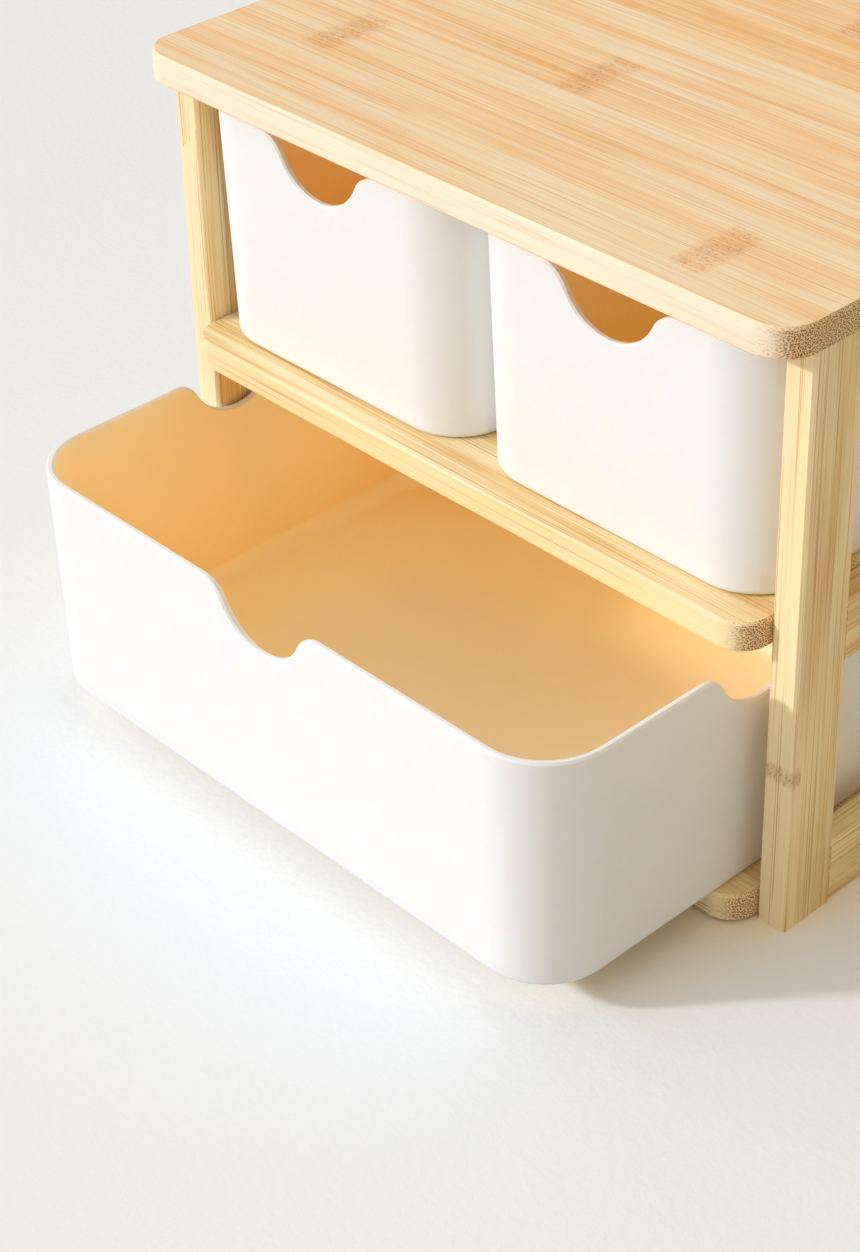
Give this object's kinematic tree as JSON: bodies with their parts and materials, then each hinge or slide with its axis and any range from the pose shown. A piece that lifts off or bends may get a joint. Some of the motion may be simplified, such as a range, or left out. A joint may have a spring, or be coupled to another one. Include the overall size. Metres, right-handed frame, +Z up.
{
  "type": "mini drawer unit",
  "caption": "Desktop mini drawers: open bamboo frame with small moulded drawers side by side above one wide drawer, each with finger notches.",
  "frame": {"origin": "table level, in the middle of the space that the unit takes up with its wide drawer pulled out as in the picture", "axes": "+Z up, -Y the way the drawers pull out, +X to the right as seen from the front"},
  "size_m": [0.251, 0.252, 0.195],
  "materials": {
    "bamboo": "satin clear lacquer on laminated bamboo",
    "dowel_wood": "plain turned beech",
    "plastic": "satin moulded plastic, warm white"
  },
  "bodies": {
    "frame": {"top_board": "bamboo", "mid_shelf": "bamboo", "bottom_board": "bamboo", "front_left_post": "bamboo", "front_right_post": "bamboo", "rear_left_post": "bamboo", "rear_right_post": "bamboo", "left_bottom_rail": "bamboo", "left_mid_rail": "bamboo", "left_top_rail": "bamboo", "right_bottom_rail": "bamboo", "right_mid_rail": "bamboo", "right_top_rail": "bamboo", "lower_back_rail": "bamboo", "upper_back_rail": "bamboo", "side_rail_dowels": "dowel_wood", "back_rail_dowels": "dowel_wood", "board_dowels": "dowel_wood", "top_board_dowels": "dowel_wood"},
    "left_small_drawer": {"left_small_drawer": "plastic"},
    "right_small_drawer": {"right_small_drawer": "plastic"},
    "large_drawer": {"large_drawer": "plastic"}
  },
  "joints": [
    {"name": "left_small_drawer_slide", "type": "slide", "parent": "frame", "child": "left_small_drawer", "axis": [0, -1, 0], "range_m": [0, 0.12]},
    {"name": "right_small_drawer_slide", "type": "slide", "parent": "frame", "child": "right_small_drawer", "axis": [0, -1, 0], "range_m": [0, 0.12]},
    {"name": "large_drawer_slide", "type": "slide", "parent": "frame", "child": "large_drawer", "axis": [0, -1, 0], "range_m": [-0.0748, 0.0452]}
  ]
}
